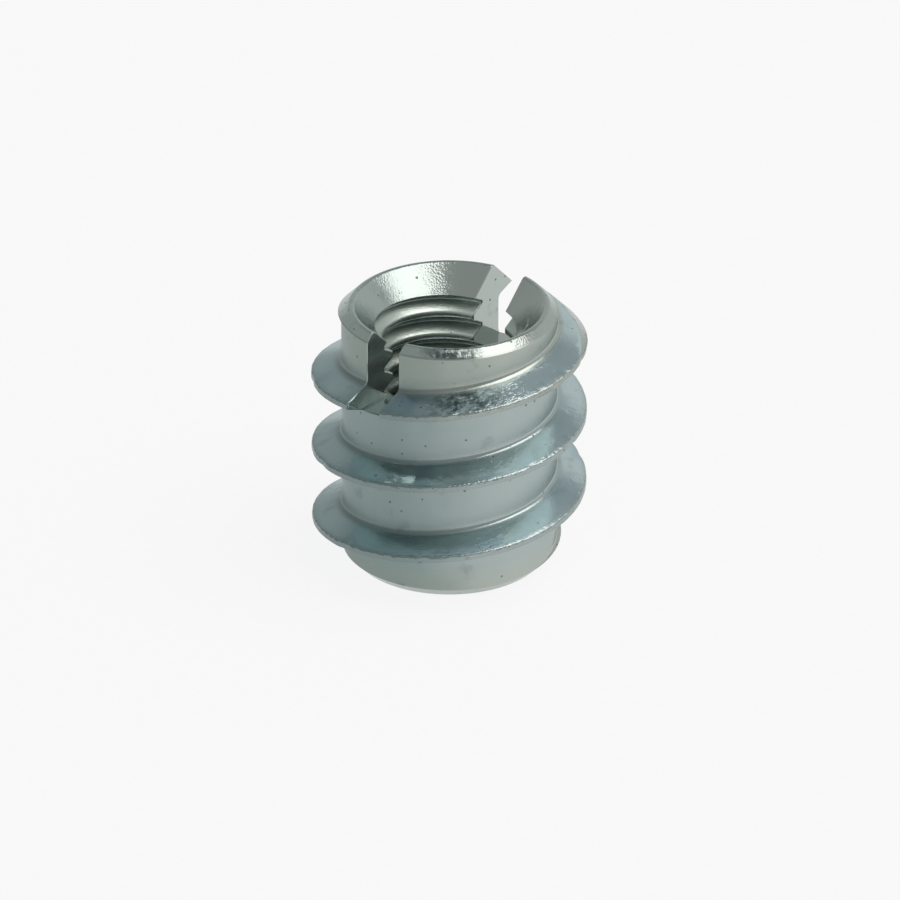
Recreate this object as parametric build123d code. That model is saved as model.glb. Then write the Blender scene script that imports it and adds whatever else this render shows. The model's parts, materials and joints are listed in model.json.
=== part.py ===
from build123d import *
import os
from math import atan, ceil, radians, tan

# Threaded insert for wood, turned in one piece. Millimetres, +Z up along the axis,
# origin at the centre of the lower end face, the driver slot along X.

# Body
bore_diameter = 6.8          # tapping hole for an M8 screw, right through
wall_thickness = 2.05        # from the tapping hole to the core between the turns
body_length = 14.0

# Wood thread outside
thread_pitch = 4.0
thread_depth = 1.55          # from the core to the crests
crest_share = 0.08           # flat of a crest, of the pitch
ridge_base_share = 0.38      # foot of a ridge on the core, of the pitch
root_radius = 0.45           # between a flank and the core
thread_start_angle = -65.0   # where a crest would meet the lower end, from the slot's line

# Ends
bevel_angle = 45.0           # of both outer bevels, from the axis
end_bevel_share = 0.27       # lower end face inside the core, of the wall
lead_in_share = 0.25         # break on the lower mouth of the hole, of the wall
rim_bevel_share = 0.2        # upper rim inside the core, of the wall
rim_land_share = 0.1         # flat left on the upper rim, of the wall
countersink_angle = 90.0     # full angle of the cone under the rim

# Driver slot
slot_width = 2.0
slot_depth = 4.0

# How far the cutters run past the blank
cutter_overrun = 1.0

# Derived sizes
bore_radius = bore_diameter / 2
core_radius = bore_radius + wall_thickness
thread_radius = core_radius + thread_depth
end_face_radius = core_radius - end_bevel_share * wall_thickness
lead_in = lead_in_share * wall_thickness
rim_radius = core_radius - rim_bevel_share * wall_thickness
rim_inner_radius = rim_radius - rim_land_share * wall_thickness
bevel_rise = 1 / tan(radians(bevel_angle))
countersink_rise = 1 / tan(radians(countersink_angle / 2))

crest_width = crest_share * thread_pitch
ridge_base = ridge_base_share * thread_pitch
flank_lean = atan((ridge_base - crest_width) / 2 / thread_depth)
flank_overrun = crest_width / 2      # keeps neighbouring turns of the groove apart above the crests
groove_top_radius = thread_radius + flank_overrun
groove_half_floor = (thread_pitch - ridge_base) / 2
groove_half_top = groove_half_floor + (thread_depth + flank_overrun) * tan(flank_lean)
root_turn = radians(90) - flank_lean  # from the core to a flank
root_reach = root_radius * tan(root_turn / 2)
root_handle = root_radius * tan(root_turn / 4) * 4 / 3
turns_below = 1.5                    # from the start of the groove up to the lower end
turns = ceil(body_length / thread_pitch) + 2


def blank():
    """Turned blank: outer bevels up to the thread's diameter, hole, countersink and lower lead-in."""
    section = Polyline(
        (bore_radius + lead_in, 0, 0),
        (end_face_radius, 0, 0),
        (thread_radius, 0, (thread_radius - end_face_radius) * bevel_rise),
        (thread_radius, 0, body_length - (thread_radius - rim_radius) * bevel_rise),
        (rim_radius, 0, body_length),
        (rim_inner_radius, 0, body_length),
        (bore_radius, 0, body_length - (rim_inner_radius - bore_radius) * countersink_rise),
        (bore_radius, 0, lead_in),
        close=True,
    )
    return revolve(make_face(section), axis=Axis.Z)


def thread_groove():
    """Space between the ridges: a trapezoid with rounded roots, screwed up the axis past both ends."""
    corner = Vector(core_radius, groove_half_floor)
    flank_top = Vector(groove_top_radius, groove_half_top)
    up_core = Vector(0, 1)
    up_flank = (flank_top - corner).normalized()
    on_core = corner - up_core * root_reach
    on_flank = corner + up_flank * root_reach
    root = Bezier(on_core, on_core + up_core * root_handle, on_flank - up_flank * root_handle, on_flank)
    lower_root = mirror(root, about=Plane.XZ)
    opening = Polyline(on_flank, flank_top, (flank_top.X, -flank_top.Y), lower_root @ 1)
    section = make_face(Line(lower_root @ 0, on_core) + root + opening + lower_root)
    helix = Helix(pitch=thread_pitch, height=turns * thread_pitch, radius=core_radius)
    swept = sweep(Plane.XZ * section, path=helix, is_frenet=True)
    return Pos(0, 0, -turns_below * thread_pitch) * swept


def driver_slot():
    """Straight saw cut across the upper end, through the rim and the last turn."""
    length = 2 * (thread_radius + cutter_overrun)
    height = slot_depth + cutter_overrun
    cut = Box(length, slot_width, height, align=(Align.CENTER, Align.CENTER, Align.MIN))
    return Pos(0, 0, body_length - slot_depth) * cut


insert_body = blank() - Rot(0, 0, thread_start_angle) * thread_groove() - driver_slot()

os.makedirs("parts", exist_ok=True)
export_step(insert_body, "parts/insert_body.step")
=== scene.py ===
"""Looks of a screw-in insert for wood: its surfaces, its plating and the stage it is pictured on."""
import json
import math

import bmesh
import bpy
import numpy as np
from bpy.props import FloatProperty, FloatVectorProperty, PointerProperty
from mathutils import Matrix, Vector


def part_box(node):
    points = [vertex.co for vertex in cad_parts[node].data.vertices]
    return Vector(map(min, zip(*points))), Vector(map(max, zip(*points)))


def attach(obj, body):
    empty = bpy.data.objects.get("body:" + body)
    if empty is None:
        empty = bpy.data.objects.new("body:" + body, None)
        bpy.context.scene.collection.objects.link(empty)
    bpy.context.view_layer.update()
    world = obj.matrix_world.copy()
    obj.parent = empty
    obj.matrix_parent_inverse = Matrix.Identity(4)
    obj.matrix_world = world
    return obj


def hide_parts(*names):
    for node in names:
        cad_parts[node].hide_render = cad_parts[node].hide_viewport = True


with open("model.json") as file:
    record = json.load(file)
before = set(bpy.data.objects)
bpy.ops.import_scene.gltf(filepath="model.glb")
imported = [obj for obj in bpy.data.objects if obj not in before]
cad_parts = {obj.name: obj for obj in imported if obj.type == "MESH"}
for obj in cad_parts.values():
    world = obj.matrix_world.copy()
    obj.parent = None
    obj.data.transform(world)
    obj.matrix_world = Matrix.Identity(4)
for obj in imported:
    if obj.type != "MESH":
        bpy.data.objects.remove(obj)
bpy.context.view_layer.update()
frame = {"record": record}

bl_info = {
    "name": "Threaded insert for wood",
    "version": (1, 0, 0),
    "blender": (4, 5, 0),
    "location": "3D View > Sidebar > Insert",
    "description": "Slotted, zinc plated insert with a coarse wood thread outside and a tapped hole",
    "category": "Object",
}

MM = 0.001
TURN = 2 * math.pi

body_low, body_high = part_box("insert_body")
hole = frame["record"]["mounts"][0]["dims"]

# how finely the surfaces are cut
SIDE_COLUMNS = 124          # from one end of the slot round to the other
SLOT_COLUMNS = 10           # across the slot
OUTER_GAP = 0.23 * MM       # longest step along the section of the wood thread
INNER_GAP = 0.35 * MM       # and along that of the screw thread
OUTER_STEPS = 4             # parts of a rounding on the wood thread and the rim
INNER_STEPS = 3             # and of one on the screw thread and the foot
PASSES = 5                  # a column's angle and its radius depend on each other

# lengths below which two places count as one
TOUCHING = 1e-6             # a thread and the cone it runs out through
JOINED = 2e-7               # two points of the mesh
ROUNDING = 1e-9             # a height and the slot's floor

SHARP = math.radians(28)    # edges that turn by more stay sharp to the eye

# what each point is marked with, for the plating to follow
MARKS = "flank", "crest", "root", "ends", "in_hole", "sawn"


def linear(code):
    """Linear red, green and blue of an sRGB hex colour."""
    srgb = np.array([int(code[i:i + 2], 16) for i in (1, 3, 5)]) / 255
    return tuple(float(c) for c in np.where(srgb <= 0.04045, srgb / 12.92, ((srgb + 0.055) / 1.055) ** 2.4))


def length(name, description, default):
    """A length that the sidebar shows in the scene's unit."""
    return FloatProperty(name=name, description=description, default=default, min=0, unit="LENGTH", precision=5)


def degrees(name, description, default):
    """An angle given in degrees."""
    return FloatProperty(name=name, description=description, default=math.radians(default), subtype="ANGLE")


def colour(name, description, code):
    """A colour given as sRGB hex."""
    return FloatVectorProperty(name=name, description=description, default=linear(code), size=3,
                               min=0, max=1, subtype="COLOR")


class InsertSizes(bpy.types.PropertyGroup):
    """Sizes of the insert."""
    thread_diameter: length("Thread diameter", "Across the crests of the wood thread", body_high.x - body_low.x)
    core_diameter: length("Core diameter", "Between the turns of the wood thread", 10.9 * MM)
    body_length: length("Length", "From the lower end face to the rim", body_high.z - body_low.z)
    thread_pitch: length("Thread pitch", "From one turn of the wood thread to the next", 4 * MM)
    crest_width: length("Crest width", "Flat on top of a turn", 0.32 * MM)
    ridge_base: length("Ridge base", "Foot of a turn on the core", 1.52 * MM)
    root_radius: length("Root radius", "Hollow between a turn and the core", 0.3 * MM)
    thread_start: degrees("Thread start", "Where a crest would meet the lower end", -65)
    end_face_diameter: length("End face diameter", "Flat of the lower end", 9.793 * MM)
    lead_in: length("Lead-in", "Break on the lower mouth of the hole", 0.5125 * MM)
    rim_diameter: length("Rim diameter", "Outer edge of the upper rim", 10.08 * MM)
    rim_land: length("Rim land", "Flat of the upper rim", 0.205 * MM)
    slot_width: length("Slot width", "Driver slot across the upper end", 2 * MM)
    slot_depth: length("Slot depth", "Driver slot, from the rim down", 4 * MM)
    hole_diameter: length("Hole diameter", "Across the crests of the screw thread", 2 * hole["r_mm"] * MM)
    screw_diameter: length("Screw diameter", "Across the roots of the screw thread", 8.15 * MM)
    screw_pitch: length("Screw pitch", "From one turn of the screw thread to the next", 1.25 * MM)
    screw_start: degrees("Screw thread start", "Turns the screw thread round the axis", 80)
    edge_break: length("Edge break", "Rounding left on the edges by tumbling and plating", 0.05 * MM)
    screw_break: length("Screw crest break", "Rounding on both edges of the screw thread", 0.15 * MM)
    crest_break: length("Crest break", "Rounding on the upper edge of the wood thread", 0.15 * MM)
    rim_break: length("Rim break", "Rounding on both edges of the upper rim", 0.24 * MM)
    crest_wear: length("Crest wear", "Depth of the burrs and nicks along the crests", 0.06 * MM)


class InsertFinish(bpy.types.PropertyGroup):
    """Finish of the insert."""
    # painted light and shade: the next two colours are one zinc, lighter on the camera's right and darker on its
    # left
    plating: colour("Plating", "Zinc on the side that took the film best", "#CADADB")
    plating_shaded_side: colour("Thin plating", "Zinc on the other side", "#9DB1B2")
    plating_ends: colour("Plating on the ends",
                         "Paler zinc on the bevels, the countersink, the hole and the slot", "#B5BDB8")
    # painted shade: the darker copy of the ends' zinc, for the camera's left
    ends_shaded_side: colour("Thin plating on the ends", "The same on the side with thin plating", "#B0BCB8")
    # painted shade: the next two tints darken all but the flanks, which leaves the flanks painted lighter; the
    # second is also yellower
    off_flank_shade: colour("Dull film", "Tint over the core, which rubbed against other parts", "#DFDDDA")
    warm_off_flank_shade: colour("Warm film", "The same near both ends, a little yellower", "#E4DCD3")
    # painted shade: a darker tint on the crests, which catch more light than the core
    crest_painted_shade: colour("Worn film", "Further tint over the crests", "#EAEAEA")
    stain: colour("Stain", "Tint of the blue clouds on the flanks", "#DFE6EE")
    # painted light: a pale tint on the upward flanks of the screw thread near its mouth
    hole_painted_light: colour("Plating in the hole",
                         "Pale matt zinc that settled on the upward flanks of the screw thread near its mouth",
                         "#D6E2DA")
    edge_tint: colour("Edge tint", "How much of the glare at a glancing view the film lets through", "#E6E9E9")
    # painted shade in the roots of the wood thread, shared with real grime in the torn hollows
    grime_and_root_shade: colour("Grime", "Tint of what gathered in the roots of the wood thread and where it is torn", "#788486")
    smudge: colour("Smudge", "Tint of the grey smears that handling left", "#A3A4A0")
    pit: colour("Pit", "Dark speck where the plating is broken", "#3B4544")


class InsertStage(bpy.types.PropertyGroup):
    """Floor, room, lamp and view. Directions round the insert are given from the camera's right hand side."""
    floor: colour("Floor", "Pale sheet under the insert", "#FDFDFD")
    floor_half: length("Floor size", "From the middle of the sheet to its sides", 1.5)
    floor_glow: FloatProperty(name="Floor white", default=0.9, min=0, max=1,
                              description="Share of plain white in what the eye and the metal see of the floor")
    room_dim: colour("Dim side", "Low walls of the room at the front and left", "#B1B3B3")
    room_bright: colour("Bright side", "Low walls of the room at the back and right", "#D2D4D4")
    bright_turn: degrees("Bright side turn", "Direction of the bright side", 40)
    room_high: colour("Ceiling", "Room overhead at the front", "#A9ABAB")
    room_back: colour("Back of the ceiling", "Room overhead at the back", "#8B9498")
    back_turn: degrees("Back turn", "Direction of the back of the ceiling", 75)
    lamp: colour("Lamp", "Light of the soft box", "#FFF8F4")
    lamp_power: FloatProperty(name="Soft box", description="Round soft box overhead at the right",
                              default=2.15, min=0, unit="POWER")
    lamp_turn: degrees("Lamp turn", "Direction of the soft box", -11)
    lamp_rise: degrees("Lamp rise", "Soft box above the horizon", 60)
    lamp_spread: degrees("Lamp spread", "Half of the angle that the soft box fills", 25)
    lamp_distance: length("Lamp distance", "From the soft box to the middle of the insert", 700 * MM)
    view_turn: degrees("View turn", "Turn of the camera round the axis", -51.5)
    view_rise: degrees("View rise", "Camera above the horizon", 27.5)
    view_distance: length("View distance", "From the camera to the middle of the insert", 443.4 * MM)
    view_lens: FloatProperty(name="Lens", description="Focal length of the camera", default=349.25, min=1,
                             unit="CAMERA")
    view_sensor: FloatProperty(name="Sensor", description="Width of the picture in the camera", default=36, min=1,
                               unit="CAMERA")
    aim_right: length("Aim to the right", "Of the middle of the insert", 0.043 * MM)
    aim_down: length("Aim down", "From the middle of the insert", 1.149 * MM)


# ---------------------------------------------------------------- sections

def rounded(corners, radii, steps):
    """Open line through corners, with an arc of the given radius in place of each inner corner.

    An arc leaves both legs at radius times the tangent of half the turn from the corner, and runs
    along sine of the swing on the leg before and one minus cosine of it towards the leg after.
    """
    corners = np.asarray(corners, float)
    legs = np.diff(corners, axis=0)
    legs /= np.linalg.norm(legs, axis=1)[:, None]
    line = [corners[:1]]
    for corner, before, after, radius in zip(corners[1:-1], legs[:-1], legs[1:], radii):
        turn = math.acos(before @ after)
        inward = (after - before * math.cos(turn)) / math.sin(turn)
        swing = np.linspace(0, turn, steps + 1)[:, None]
        first = corner - radius * math.tan(turn / 2) * before
        line.append(first + radius * (np.sin(swing) * before + (1 - np.cos(swing)) * inward))
    return np.vstack(line + [corners[-1:]])


def spaced(line, gap):
    """The same line with each leg cut into equal parts no longer than gap."""
    legs = np.linalg.norm(np.diff(line, axis=0), axis=1)
    parts = np.maximum(1, np.ceil(legs / gap)).astype(int)
    leg = np.repeat(np.arange(len(legs)), parts)
    share = (np.arange(parts.sum()) - np.repeat(np.cumsum(parts) - parts, parts)) / parts[leg]
    cut = line[leg] + share[:, None] * (line[leg + 1] - line[leg])
    return np.vstack([cut, line[-1:]])


def ridge_section(s):
    """One pitch of the wood thread, as height and radius: half a groove, the ridge, half a groove."""
    core, tip = s.core_diameter / 2, s.thread_diameter / 2
    corners = [(-s.thread_pitch / 2, core), (-s.ridge_base / 2, core), (-s.crest_width / 2, tip),
               (s.crest_width / 2, tip), (s.ridge_base / 2, core), (s.thread_pitch / 2, core)]
    radii = s.root_radius, 0.4 * s.edge_break, s.crest_break, s.root_radius
    return spaced(rounded(corners, radii, OUTER_STEPS), OUTER_GAP)


def groove_section(s):
    """One pitch of the screw thread, as height and radius: half a crest, the 60 degree groove, half a crest."""
    crest, root = s.hole_diameter / 2, s.screw_diameter / 2
    floor = s.screw_pitch / 8
    mouth = floor + 2 * (root - crest) * math.tan(math.radians(30))
    corners = [(-s.screw_pitch / 2, crest), (-mouth / 2, crest), (-floor / 2, root),
               (floor / 2, root), (mouth / 2, crest), (s.screw_pitch / 2, crest)]
    radii = s.screw_break, 1.5 * s.edge_break, 1.5 * s.edge_break, s.screw_break
    return spaced(rounded(corners, radii, INNER_STEPS), INNER_GAP)


def rim_section(s):
    """Upper rim as radius and height: end of the bevel, flat land, start of the countersink."""
    outer, inner, reach = s.rim_diameter / 2, s.rim_diameter / 2 - s.rim_land, 2 * s.edge_break
    corners = [(outer + reach, s.body_length - reach), (outer, s.body_length),
               (inner, s.body_length), (inner - reach, s.body_length - reach)]
    return rounded(corners, (s.rim_break, s.rim_break), OUTER_STEPS)


def foot_section(s):
    """Lower end as radius and height: end of the lead-in, end face, start of the bevel."""
    inner, outer, reach = s.hole_diameter / 2 + s.lead_in, s.end_face_diameter / 2, 2 * s.edge_break
    corners = [(inner - reach, reach), (inner, 0), (outer, 0), (outer + reach, reach)]
    return rounded(corners, (s.edge_break, s.edge_break), INNER_STEPS)


def bevels(s, height):
    """Radius of the two 45 degree outer bevels: the smaller of what each leaves at a height."""
    return np.minimum(s.end_face_diameter / 2 + height, s.rim_diameter / 2 + s.body_length - height)


def mouths(s, height):
    """Radius of the countersink and the lower lead-in, both 45 degrees: the larger at a height."""
    return np.maximum(s.hole_diameter / 2 + s.lead_in - height,
                      s.rim_diameter / 2 - s.rim_land - (s.body_length - height))


# ---------------------------------------------------------------- surfaces

def slot_half(s, height):
    """Half width of the slot at a height: its edges are broken from a little above its floor."""
    above = (height - (s.body_length - s.slot_depth)) / (4 * s.edge_break)
    return s.slot_width / 2 + s.edge_break * np.clip(above, 0, 1)


def slid(height, over):
    """Heights with the nearer of two rows slid to where over passes through zero between them."""
    low, high = over[:-1], over[1:]
    passes = low * high < 0
    share = low / np.where(passes, low - high, 1)
    edge = height[:-1] + share * np.diff(height, axis=0)
    moved = height.copy()
    moved[:-1] = np.where(passes & (share < 0.5), edge, moved[:-1])
    moved[1:] = np.where(passes & (share >= 0.5), edge, moved[1:])
    return moved


def crest_burrs(turns):
    """Share of the crest wear at a place along the wood thread, given in turns.

    Slow and quick sines of unlike lengths make an edge that is uneven by a third of the wear, and
    bell curves make a few nicks as deep as the wear.
    """
    uneven = (np.sin(61 * turns + 1) + np.sin(147 * turns) + np.sin(283 * turns + 2)) / 6 + 0.5
    places = np.array([0.21, 0.47, 0.58, 0.9, 1.13, 1.42, 1.71,
                       1.78, 2.16, 2.38, 2.62, 2.767, 2.81, 3.05])
    widths = np.array([0.01, 0.006, 0.004, 0.008, 0.006, 0.01, 0.004,
                       0.007, 0.005, 0.009, 0.006, 0.0045, 0.006, 0.008])
    nicks = np.exp(-((turns[..., None] - places) / widths) ** 2).sum(axis=-1)
    return 0.35 * uneven + nicks


def screw_grid(s, section, pitch, start_angle, cones, keep, span, columns, level, wear):
    """Points of a thread that runs out through cones, as rows along the thread by columns round it.

    A row's height is its height in the section plus the pitch for every turn of its angle, held
    inside span. Its radius is the section's at that place or the cones', whichever keep keeps.
    A column's angle is its base plus its lean times the arc sine of the slot's half width over the
    radius, so columns beside the slot run straight. Rows next to an edge are slid onto it, and in
    the marked columns onto level, the height of the slot's floor. Wear takes a little off the crests.
    Also gives each point's share of the thread's depth, or -1 where a cone has cut the thread away,
    how much it has cut away there, the point's height in the section, and whether it lies on the
    edge between thread and cone.
    """
    base, lean, marked = columns
    start = -pitch * start_angle / TURN
    first = math.floor((span[0] - start) / pitch) - 3
    count = math.ceil((span[1] - span[0]) / pitch) + 5
    rows = (start + section[:-1, 0] + pitch * (first + np.arange(count))[:, None]).reshape(-1, 1)
    foot, tip = section[:, 1].min(), section[:, 1].max()

    def thread_radius(angle, height):
        along = (height - start) / pitch - angle / TURN - section[0, 0] / pitch
        ridge = np.floor(along)
        within = (along - ridge) * pitch + section[0, 0]
        radius = np.interp(within, section[:, 0], section[:, 1])
        depth = (radius - foot) / (tip - foot)
        if wear:
            radius = radius - wear * np.clip(5 * depth - 4, 0, 1) * crest_burrs(ridge + angle / TURN)
        return radius, depth, within

    height = rows + pitch * base / TURN
    radius = np.full(height.shape, section[:, 1].mean())
    for _ in range(PASSES):
        angle = base + lean * np.arcsin(slot_half(s, height) / radius)
        height = rows + pitch * angle / TURN
        height = slid(height, thread_radius(angle, height)[0] - cones(s, height))
        height = slid(height, np.where(marked, height - level, 1))
        height = np.clip(height, *span)
        thread, depth, within = thread_radius(angle, height)
        radius = keep(thread, cones(s, height))
    cut = np.abs(radius - thread)
    on_edge = np.abs(thread - cones(s, height)) < TOUCHING
    points = np.stack([radius * np.cos(angle), radius * np.sin(angle), height], axis=-1)
    return points, np.where(cut < TOUCHING, depth, -1), cut, within, on_edge


def turned_grid(s, section, columns):
    """Points of a section of radius and height turned round the axis, on the same columns."""
    base, lean, _ = columns
    radius, height = section[:, :1], np.repeat(section[:, 1:], len(base), axis=1)
    angle = base + lean * np.arcsin(slot_half(s, height) / radius)
    return np.stack([radius * np.cos(angle), radius * np.sin(angle), height], axis=-1)


def body_patch(s, columns, rim):
    """Closed loop of rows over some columns: outside, top, hole and lower end.

    Also gives each point's first five marks, whether it lies on an edge, and the row where the lower
    end begins. Flank and crest go by the share of the wood thread's depth. Root is a bell curve across
    the section, beside the ridge's upper foot. The mark of the ends is how much a bevel has cut away,
    and 1 all over the top, the hole and the lower end. The mark in the hole is on the upward flanks of
    the screw thread, and far below 0 on the cones.
    """
    low = 2 * s.edge_break
    level = s.body_length - s.slot_depth
    span = low, s.body_length - low if rim else level
    outside, rise, cut, within, edge = screw_grid(
        s, ridge_section(s), s.thread_pitch, s.thread_start, bevels, np.minimum, span, columns, level, s.crest_wear)
    wall, depth, _, _, lip = screw_grid(
        s, groove_section(s), s.screw_pitch, s.screw_start, mouths, np.maximum, span, columns, level, 0)
    top = turned_grid(s, rim_section(s), columns) if rim else outside[:0]
    foot = turned_grid(s, foot_section(s), columns)
    above, below = np.zeros(top.shape[:2]), np.zeros(foot.shape[:2])

    # pale matt zinc on the upward flanks fades out over the deepest 35 % of the screw thread; its pale tint is
    # painted light, and its fading is painted shade deeper in
    upward = np.gradient(np.hypot(wall[..., 0], wall[..., 1]), axis=0) > 0.1 * TOUCHING
    settled_and_lit = np.where(depth < 0, -4, upward * np.clip((1 - depth) / 0.35, 0, 1))
    settled_and_lit = np.concatenate([0 * rise, above, settled_and_lit[::-1], below])
    # flanks begin at 6 % of the wood thread's depth, and the crest is its last 8 %
    beside, width = 0.08 * MM, 0.22 * MM
    root = np.exp(-((within - s.ridge_base / 2 - beside) / width) ** 2)
    root = np.concatenate([root, above, 0 * depth, below])
    rise = np.concatenate([rise, above - 1, 0 * depth - 1, below - 1])
    flank = np.clip((rise - 0.06) / 0.2, 0, 1) * np.clip((1 - rise) / 0.08, 0, 1)
    crest = np.clip((rise - 0.92) / 0.08, 0, 1)
    ends = np.concatenate([cut / low, above + 1, 0 * depth + 1, below + 1])

    edge = np.concatenate([edge, above > 0, lip[::-1], below > 0])
    marks = np.stack([flank, crest, root, ends, settled_and_lit], axis=-1)
    return np.concatenate([outside, top, wall[::-1], foot]), marks, edge, len(edge) - len(foot)


def patch_faces(first, edge):
    """Faces between neighbouring rows and columns, the last row joined to the first.

    Where an edge steps from one row to the next, it cuts the face into two triangles.
    """
    place = first + np.arange(edge.size).reshape(edge.shape)
    a, b = place[:, :-1], place[:, 1:]
    d, c = np.roll(a, -1, axis=0), np.roll(b, -1, axis=0)
    on_a, on_b = edge[:, :-1], edge[:, 1:]
    on_d, on_c = np.roll(on_a, -1, axis=0), np.roll(on_b, -1, axis=0)
    falls = on_b & on_d
    climbs = on_a & on_c & ~falls
    whole = ~(falls | climbs)
    halves = [np.stack(corners, axis=1) for corners in
              ((a[falls], b[falls], d[falls]), (b[falls], c[falls], d[falls]),
               (a[climbs], b[climbs], c[climbs]), (a[climbs], c[climbs], d[climbs]))]
    return np.stack([a, b, c, d], axis=-1)[whole].tolist() + np.concatenate(halves).tolist()


def slot_wall(s, edge):
    """Flat wall of the slot inside its broken edge.

    The edge runs up the outside, over the rim and down the hole. Each point goes inward across the
    edge's legs before and after it by as much as the edge is broken there, and onto the wall's plane.
    A point that would come clearly nearer than that to another leg joins the point before it.
    """
    line = np.stack([np.abs(edge[:, 0]), edge[:, 2]], axis=1)
    legs = np.diff(line, axis=0)
    long = np.linalg.norm(legs, axis=1)[:, None]
    unit = legs / long
    before, after = np.vstack([unit[:1], unit]), np.vstack([unit, unit[-1:]])
    along = (before + after) / (1 + (before * after).sum(axis=1))[:, None]
    step = slot_half(s, edge[:, 2]) - s.slot_width / 2
    inner = line + step[:, None] * np.stack([-along[:, 1], along[:, 0]], axis=1)
    from_leg = inner[:, None] - line[:-1]
    share = np.clip((from_leg * legs).sum(axis=2) / (long ** 2).T, 0, 1)
    apart = np.linalg.norm(from_leg - share[..., None] * legs, axis=2).min(axis=1)
    clear = np.flatnonzero(apart > 0.95 * step - ROUNDING)
    inner = inner[clear[np.searchsorted(clear, np.arange(len(line)), side="right") - 1]]
    plane = np.full(len(line), s.slot_width / 2)
    return np.stack([np.sign(edge[:, 0]) * inner[:, 0], np.sign(edge[:, 1]) * plane, inner[:, 1]], axis=1)


def body_mesh(s):
    """All points and faces of the insert: two slot ends, two sides between them and the slot's four walls.

    Also gives each point's six marks. In the slot only those for the ends and for sawn faces are set.
    """
    across = np.linspace(-1, 1, SLOT_COLUMNS + 1)
    round_side = np.linspace(0, 1, SIDE_COLUMNS + 1)
    level = s.body_length - s.slot_depth
    wall_marks = [float(mark in ("ends", "sawn")) for mark in MARKS]
    points, marks, faces, total = [], [], [], 0
    for turned in (0, math.pi):
        slot_end = (np.full(len(across), turned), across, np.full(len(across), True))
        side = (turned + math.pi * round_side, 1 - 2 * round_side, (round_side == 0) | (round_side == 1))
        for columns, rim in ((slot_end, False), (side, True)):
            grid, mark, edge, foot_row = body_patch(s, columns, rim)
            rows, count = edge.shape
            faces += patch_faces(total, edge)
            sawn = (grid[..., 2:] > level - ROUNDING) * 1.0 * (not rim)
            ends = np.maximum(mark[..., 3:4], sawn)
            mark = np.concatenate([mark[..., :3] * (1 - sawn), ends, mark[..., 4:] * (1 - sawn), sawn], axis=-1)
            points.append(grid.reshape(-1, 3))
            marks.append(mark.reshape(-1, len(MARKS)))
            first = total
            total += rows * count
            for column in (0, count - 1) if rim else ():
                line = grid[:foot_row, column]
                above_floor = np.flatnonzero(line[:, 2] > level - ROUNDING)
                apart = np.linalg.norm(np.diff(line[above_floor], axis=0), axis=1) > 10 * ROUNDING
                used = above_floor[np.concatenate([[True], apart])]
                wall = slot_wall(s, line[used])
                inner = total + np.arange(len(wall))
                outer = first + used * count + column
                faces += np.stack([outer[:-1], outer[1:], inner[1:], inner[:-1]], axis=1).tolist()
                faces.append(inner.tolist())
                points.append(wall)
                marks.append(np.tile(wall_marks, (len(wall), 1)))
                total += len(wall)
    return np.vstack(points), faces, np.vstack(marks)


def make_piece(name, points, faces, marks):
    """Mesh object at the origin from points and faces: doubles joined, faces outward, steep edges sharp."""
    mesh = bpy.data.meshes.new(name)
    mesh.from_pydata(points.tolist(), [], faces)
    for mark, values in marks.items():
        mesh.attributes.new(mark, "FLOAT", "POINT").data.foreach_set("value", values.astype(np.float32))
    work = bmesh.new()
    work.from_mesh(mesh)
    bmesh.ops.remove_doubles(work, verts=work.verts, dist=JOINED)
    loose = [v for v in work.verts if not v.link_faces]
    bmesh.ops.delete(work, geom=loose, context="VERTS")
    bmesh.ops.recalc_face_normals(work, faces=work.faces)
    open_edges = sum(not edge.is_manifold for edge in work.edges)
    work.to_mesh(mesh)
    work.free()
    if open_edges:
        raise RuntimeError(f"{name} has {open_edges} open edges")
    mesh.shade_smooth()
    mesh.set_sharp_from_angle(angle=SHARP)
    piece = bpy.data.objects.new(name, mesh)
    bpy.context.scene.collection.objects.link(piece)
    return piece


# ---------------------------------------------------------------- materials

def add(tree, kind, inputs, **settings):
    """Adds a node with its settings; each input, by name or number, is linked to a socket or set to a value."""
    node = tree.nodes.new("ShaderNode" + kind)
    for name, value in settings.items():
        setattr(node, name, value)
    for name, value in inputs.items():
        if isinstance(value, bpy.types.NodeSocket):
            tree.links.new(value, node.inputs[name])
        else:
            node.inputs[name].default_value = value
    return node


def empty_tree(owner):
    """Node tree of a new material or world, without the nodes it comes with."""
    owner.use_nodes = True
    owner.node_tree.nodes.clear()
    return owner.node_tree


def rgba(rgb):
    """Colour with full opacity, as sockets take it."""
    return (*rgb, 1)


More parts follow.
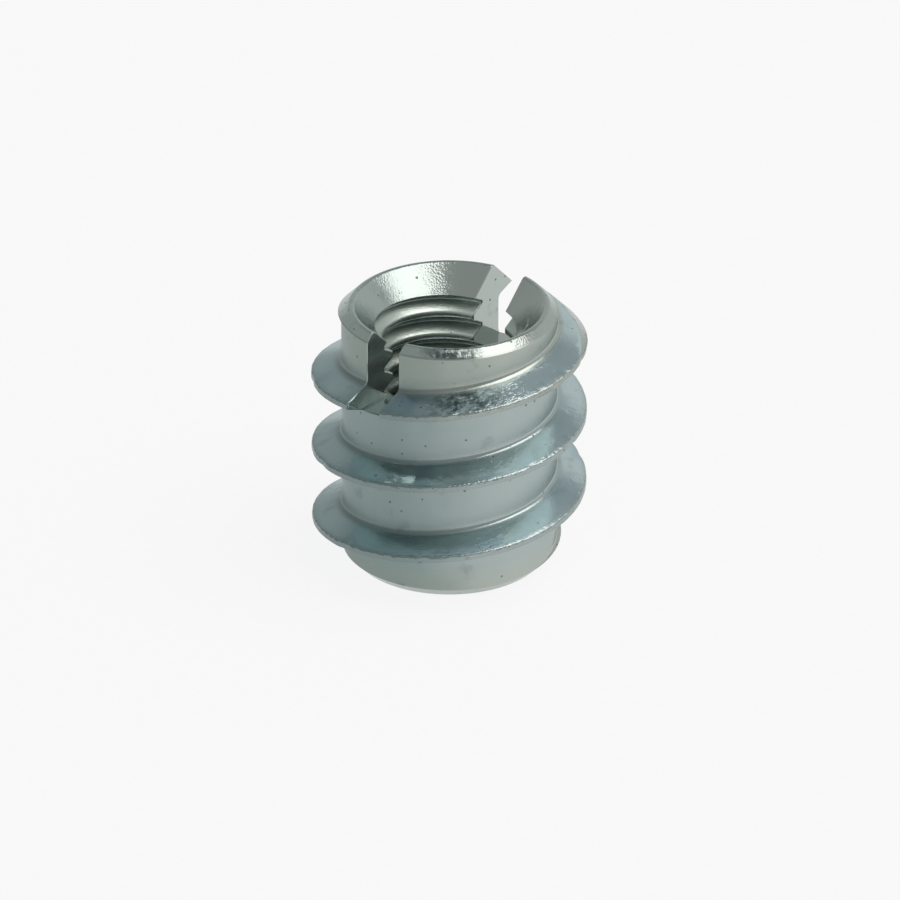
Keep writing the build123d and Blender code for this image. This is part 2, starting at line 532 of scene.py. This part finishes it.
def zinc_material(f):
    """Blue passivated zinc on turned steel.

    It gives the eye a cool grey satin metal, greener on the thread's flanks and brighter there as painted light,
    paler on the ends and a little yellower near them, with blue clouds, grey smears and a few dark pits. Painted
    light lies on the camera's right and painted shade on its left, painted shade in the roots of the wood thread and
    on the crests, and painted light on the upward flanks near the mouth of the hole. A grain breaks highlights into
    sparkles, turning left faint rings, and the saw left marks in the slot. One place on the last turn and the rim is
    torn and grimy, and one on the second turn is rubbed bright.
    """
    material = bpy.data.materials.new("zinc plating, blue passivated")
    tree = empty_tree(material)
    place = add(tree, "TexCoord", {}).outputs["Object"]
    height = add(tree, "SeparateXYZ", {0: place}).outputs["Z"]
    flank, crest, root, ends, in_hole, sawn = (
        add(tree, "Attribute", {}, attribute_name=mark).outputs["Fac"] for mark in MARKS)

    def noise(millimetres, detail, vector=place):
        """Clouds of a size."""
        inputs = {"Vector": vector, "Scale": 1 / (millimetres * MM), "Detail": detail}
        return add(tree, "TexNoise", inputs).outputs["Fac"]

    def cells(millimetres):
        """Distance from the nearest of points scattered about so far apart."""
        return add(tree, "TexVoronoi", {"Vector": place, "Scale": 1 / (millimetres * MM)}).outputs["Distance"]

    def maths(kind, *values):
        return add(tree, "Math", dict(enumerate(values)), operation=kind).outputs[0]

    def vectors(kind, *values):
        outputs = add(tree, "VectorMath", dict(enumerate(values)), operation=kind).outputs
        return outputs["Value" if kind in ("DOT_PRODUCT", "LENGTH") else "Vector"]

    def spread(value, low, high, start=0, end=1, kind="LINEAR"):
        """From start to end while value goes from low to high."""
        inputs = {0: value, 1: low, 2: high, 3: start, 4: end}
        return add(tree, "MapRange", inputs, interpolation_type=kind).outputs[0]

    def blend(share, first, second, kind="MIX"):
        return add(tree, "Mix", {0: share, 6: first, 7: second}, data_type="RGBA", blend_type=kind).outputs[2]

    flat = vectors("MULTIPLY", place, (1, 1, 0))
    outward = vectors("NORMALIZE", flat)

    def near(angle, far, close):
        """1 within close degrees of an angle round the axis, 0 beyond far degrees."""
        heading = math.cos(math.radians(angle)), math.sin(math.radians(angle)), 0
        facing = vectors("DOT_PRODUCT", outward, heading)
        return spread(facing, math.cos(math.radians(far)), math.cos(math.radians(close)))

    # these two marks run past 0 and 1, so that they change right at an edge
    ends, in_hole = spread(ends, 0, 1), spread(in_hole, 0, 1)

    # film: painted light on the camera's right and painted shade on its left, broken by clouds of about 3 mm, with
    # blue stains on the flanks
    clouds = noise(3, 4)
    across = 14 * MM
    side = vectors("DOT_PRODUCT", place, (0.62 / across, -0.78 / across, 0))
    share = spread(maths("MULTIPLY_ADD", clouds, 0.3, side), -0.06, 0.36, kind="SMOOTHSTEP")
    film = blend(share, rgba(f.plating_shaded_side), rgba(f.plating))
    stained = spread(noise(3.5, 3), 0.5, 0.7, kind="SMOOTHSTEP")
    film = blend(maths("MULTIPLY", stained, flank), film, rgba(f.stain), "MULTIPLY")

    # painted shade off the flanks: a darker tint on the core, crests and roots, yellower near both ends, so that the
    # flanks stand lighter as painted light; paler on the ends
    near_end = maths("MAXIMUM", spread(height, 10.5 * MM, 12 * MM), spread(height, 2 * MM, 0.8 * MM))
    off_flank_shading = blend(near_end, rgba(f.off_flank_shade), rgba(f.warm_off_flank_shade))
    film = blend(maths("SUBTRACT", 1, flank), film, off_flank_shading, "MULTIPLY")
    # painted shade: the crests get a further darker tint, so that they look no brighter than the core
    film = blend(crest, film, rgba(f.crest_painted_shade), "MULTIPLY")
    # the ends too are painted lighter on the camera's right and darker on its left
    film = blend(ends, film, blend(share, rgba(f.ends_shaded_side), rgba(f.plating_ends)))

    # painted shade in the roots of the wood thread, strongest on the side painted darker, and grime in hollows of
    # 0.3 mm where the last turn and the rim are torn
    last_turn, rim = spread(height, 9 * MM, 10.5 * MM), spread(height, 13.3 * MM, 13.6 * MM)
    torn_flank = maths("MULTIPLY", flank, maths("MULTIPLY", last_turn, near(-127.5, 27, 13)))
    torn_rim = maths("MULTIPLY", ends, maths("MULTIPLY", rim, near(-140, 19, 10)))
    torn_zone = maths("MAXIMUM", torn_flank, torn_rim)
    grimy_zone = maths("MULTIPLY", torn_zone, near(-138, 26, 8))
    hollows = maths("MULTIPLY", spread(noise(0.3, 4), 0.36, 0.58, 0, 0.95), grimy_zone)
    # painted shade in the roots, stronger on the side painted darker
    root_shade = maths("MULTIPLY", maths("SUBTRACT", root, ends), spread(share, 0, 1, 0.35, 0.05))
    film = blend(maths("MAXIMUM", root_shade, hollows), film, rgba(f.grime_and_root_shade), "MULTIPLY")

    # smears of about 1.2 mm, and pale matt zinc on the upward flanks in the upper half of the hole, whose pale tint
    # is painted light
    smeared = spread(noise(1.2, 4), 0.61, 0.74, 0, 0.26, kind="SMOOTHSTEP")
    film = blend(smeared, film, rgba(f.smudge), "MULTIPLY")
    settled_and_lit = maths("MULTIPLY", in_hole, spread(height, 7.5 * MM, 9.5 * MM))
    film = blend(settled_and_lit, film, rgba(f.hole_painted_light))

    # pits about 0.1 mm wide, ragged
    pit = spread(maths("MULTIPLY_ADD", noise(0.15, 2), 0.12, cells(0.75)), 0.11, 0.15, 0.7, 0)
    skin = blend(pit, film, rgba(f.pit))

    # grain of 0.1 mm on the ends and crests, nubs of 0.28 mm on the crests, 0.2 mm where the metal is torn and,
    # less, on frosted patches of the flanks, waves of 0.8 mm, turning rings and saw marks of 0.08 mm
    on_crest = maths("MAXIMUM", maths("MULTIPLY", crest, 2), 0.1)
    rough = maths("MAXIMUM", maths("MULTIPLY_ADD", sawn, -0.85, ends), on_crest)
    grain = maths("MULTIPLY", cells(0.1), rough)
    nubs = maths("MULTIPLY", cells(0.28), crest)
    frosted = maths("MULTIPLY", maths("MULTIPLY", flank, share), spread(noise(1.5, 2), 0.48, 0.62, 0, 0.4))
    torn = maths("MULTIPLY", noise(0.2, 3), maths("MAXIMUM", torn_zone, frosted))
    waves = maths("MULTIPLY", noise(0.8, 2), spread(sawn, 0, 1, 1, 0.25))
    rings = noise(0.08, 2, add(tree, "CombineXYZ", {0: vectors("LENGTH", flat), 2: height}).outputs[0])
    strokes = maths("MULTIPLY", noise(0.08, 2, vectors("MULTIPLY", place, (0.04, 1, 1))), sawn)
    relief = maths("MULTIPLY", pit, -0.02)
    millimetres_high = (grain, 0.009), (nubs, 0.04), (torn, 0.03), (waves, 0.012), (rings, 0.0015), (strokes, 0.0008)
    for pattern, amount in millimetres_high:
        relief = maths("MULTIPLY_ADD", pattern, amount, relief)
    bump = add(tree, "Bump", {"Strength": 1, "Distance": MM, "Height": relief}).outputs["Normal"]

    # bright on the flanks and the ends, dull on the core and in the hole, where what stays after plating
    # scatters light; smooth where the saw went, and where the second turn is rubbed below the slot
    bright = maths("MAXIMUM", flank, maths("MAXIMUM", crest, maths("MULTIPLY", root, share)))
    dull = maths("SUBTRACT", 1, maths("MAXIMUM", bright, ends))
    satin = maths("MULTIPLY_ADD", maths("MAXIMUM", dull, settled_and_lit), 0.18, spread(clouds, 0.3, 0.7, 0.13, 0.22))
    satin = maths("MULTIPLY_ADD", sawn, -0.07, satin)
    second_turn = maths("MULTIPLY", spread(height, 5.5 * MM, 6 * MM), spread(height, 8.5 * MM, 8 * MM))
    rubbed = maths("MULTIPLY", flank, maths("MULTIPLY", second_turn, near(-165, 26, 12)))
    satin = maths("MULTIPLY", satin, spread(rubbed, 0, 1, 1, 0.45))
    bare = maths("MULTIPLY_ADD", settled_and_lit, -0.05, 0.88)
    shader = add(tree, "BsdfPrincipled", {"Base Color": skin, "Metallic": bare, "Roughness": satin,
                                          "Specular Tint": rgba(f.edge_tint), "Normal": bump})
    add(tree, "OutputMaterial", {"Surface": shader.outputs[0]})
    return material


def floor_material(t):
    """Matt pale sheet: it gives the eye a white ground with the insert's soft shadow."""
    material = bpy.data.materials.new("matt white sheet")
    tree = empty_tree(material)
    place = add(tree, "TexCoord", {}).outputs["Object"]
    tooth = add(tree, "TexNoise", {"Vector": place, "Scale": 1 / (0.5 * MM), "Detail": 2}).outputs["Fac"]
    darker = tuple(0.98 * c for c in t.floor)
    sheet = add(tree, "Mix", {0: tooth, 6: rgba(t.floor), 7: rgba(darker)}, data_type="RGBA").outputs[2]
    paper = add(tree, "BsdfPrincipled", {"Base Color": sheet, "Roughness": 0.9, "Specular IOR Level": 0}).outputs[0]
    # white for the eye and in the metal, with part of the shadow left
    white = add(tree, "Emission", {"Color": sheet, "Strength": 1}).outputs[0]
    ray = add(tree, "LightPath", {}).outputs
    seen = add(tree, "Math", {0: ray["Is Camera Ray"], 1: ray["Is Glossy Ray"]}, operation="MAXIMUM").outputs[0]
    seen = add(tree, "Math", {0: seen, 1: ray["Is Transmission Ray"]}, operation="MAXIMUM").outputs[0]
    share = add(tree, "Math", {0: seen, 1: t.floor_glow}, operation="MULTIPLY").outputs[0]
    shader = add(tree, "MixShader", {0: share, 1: paper, 2: white})
    add(tree, "OutputMaterial", {"Surface": shader.outputs[0]})
    return material


# ---------------------------------------------------------------- stage

def bearing(t, turn, rise=0):
    """Direction from the insert: turn from the camera's right hand side, counter-clockwise from above."""
    angle = t.view_turn + turn
    return Vector((math.cos(angle) * math.cos(rise), math.sin(angle) * math.cos(rise), math.sin(rise)))


def floor_sheet(t):
    """Square sheet that the insert stands on."""
    half = t.floor_half
    corners = [(-half, -half, 0), (half, -half, 0), (half, half, 0), (-half, half, 0)]
    sheet = bpy.data.meshes.new("floor sheet")
    sheet.from_pydata(corners, [], [(0, 1, 2, 3)])
    sheet.materials.append(floor_material(t))
    floor = bpy.data.objects.new("floor sheet", sheet)
    bpy.context.scene.collection.objects.link(floor)
    return floor


def soft_box(t, middle):
    """Round area lamp that faces the insert and fills a cone of the given half angle."""
    lamp = bpy.data.lights.new("soft box", "AREA")
    lamp.shape = "DISK"
    lamp.size = 2 * t.lamp_distance * math.tan(t.lamp_spread)
    lamp.color = t.lamp
    lamp.energy = t.lamp_power
    holder = bpy.data.objects.new("soft box", lamp)
    holder.location = middle + t.lamp_distance * bearing(t, t.lamp_turn, t.lamp_rise)
    holder.rotation_euler = (middle - holder.location).to_track_quat("-Z", "Y").to_euler()
    bpy.context.scene.collection.objects.link(holder)


def studio_room(t):
    """Plain room around the stage: walls from dim to bright, and a ceiling that is darker at the back."""
    world = bpy.data.worlds.new("studio room")
    tree = empty_tree(world)
    direction = add(tree, "TexCoord", {}).outputs["Generated"]

    def towards(heading, low, high):
        """Soft step from 0 to 1 while the part of a direction along heading goes from low to high."""
        along = add(tree, "VectorMath", {0: direction, 1: heading}, operation="DOT_PRODUCT").outputs["Value"]
        return add(tree, "MapRange", {0: along, 1: low, 2: high}, interpolation_type="SMOOTHSTEP").outputs[0]

    def blend(share, first, second):
        return add(tree, "Mix", {0: share, 6: first, 7: second}, data_type="RGBA").outputs[2]

    walls = blend(towards(bearing(t, t.bright_turn), -0.2, 0.9), rgba(t.room_dim), rgba(t.room_bright))
    ceiling = blend(towards(bearing(t, t.back_turn), -0.1, 0.45), rgba(t.room_high), rgba(t.room_back))
    room = blend(towards((0, 0, 1), 0.48, 0.65), walls, ceiling)
    light = add(tree, "Background", {"Color": room, "Strength": 1})
    add(tree, "OutputWorld", {"Surface": light.outputs[0]})
    return world


def view_camera(t, middle):
    """Camera with a long lens, aimed a little off the middle of the insert."""
    view = bpy.data.cameras.new("view")
    view.lens = t.view_lens
    view.sensor_width = t.view_sensor
    camera = bpy.data.objects.new("view", view)
    back_off = bearing(t, -TURN / 4, t.view_rise)
    right = bearing(t, 0)
    up = back_off.cross(right)
    aim = middle + t.aim_right * right - t.aim_down * up
    camera.location = middle + t.view_distance * back_off
    camera.rotation_euler = (aim - camera.location).to_track_quat("-Z", "Y").to_euler()
    bpy.context.scene.collection.objects.link(camera)
    return camera


# ---------------------------------------------------------------- operators and panel

class INSERT_OT_body(bpy.types.Operator):
    """Build the insert: body, both threads, countersink and driver slot in one closed surface"""
    bl_idname = "insert.body"
    bl_label = "Build insert"

    def execute(self, context):
        points, faces, marks = body_mesh(context.scene.insert_sizes)
        piece = make_piece("plated_insert", points, faces, dict(zip(MARKS, marks.T)))
        piece.data.materials.append(zinc_material(context.scene.insert_finish))
        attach(piece, "root")
        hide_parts("insert_body")
        return {"FINISHED"}


class INSERT_OT_stage(bpy.types.Operator):
    """Set the stage: floor, soft box, room and camera"""
    bl_idname = "insert.stage"
    bl_label = "Set the stage"

    def execute(self, context):
        scene = context.scene
        stage = scene.insert_stage
        middle = Vector((0, 0, scene.insert_sizes.body_length / 2))
        floor = floor_sheet(stage)
        soft_box(stage, middle)
        scene.world = studio_room(stage)
        scene.camera = view_camera(stage, middle)
        scene.view_settings.view_transform = "Standard"
        return {"FINISHED"}


class INSERT_PT_panel(bpy.types.Panel):
    """Sizes, finish and stage of the insert"""
    bl_idname = "INSERT_PT_panel"
    bl_label = "Threaded insert"
    bl_space_type = "VIEW_3D"
    bl_region_type = "UI"
    bl_category = "Insert"

    def draw(self, context):
        for title, group, operator in (("Sizes", context.scene.insert_sizes, None),
                                       ("Finish", context.scene.insert_finish, INSERT_OT_body.bl_idname),
                                       ("Stage", context.scene.insert_stage, INSERT_OT_stage.bl_idname)):
            box = self.layout.box()
            box.label(text=title)
            for name in group.__annotations__:
                box.prop(group, name)
            if operator:
                box.operator(operator)


CLASSES = (InsertSizes, InsertFinish, InsertStage, INSERT_OT_body, INSERT_OT_stage, INSERT_PT_panel)


def register():
    for cls in CLASSES:
        bpy.utils.register_class(cls)
    bpy.types.Scene.insert_sizes = PointerProperty(type=InsertSizes)
    bpy.types.Scene.insert_finish = PointerProperty(type=InsertFinish)
    bpy.types.Scene.insert_stage = PointerProperty(type=InsertStage)


def unregister():
    del bpy.types.Scene.insert_stage
    del bpy.types.Scene.insert_finish
    del bpy.types.Scene.insert_sizes
    for cls in reversed(CLASSES):
        bpy.utils.unregister_class(cls)


def main():
    register()
    bpy.ops.insert.body()
    bpy.ops.insert.stage()
    bpy.context.view_layer.update()


if __name__ == "__main__":
    main()
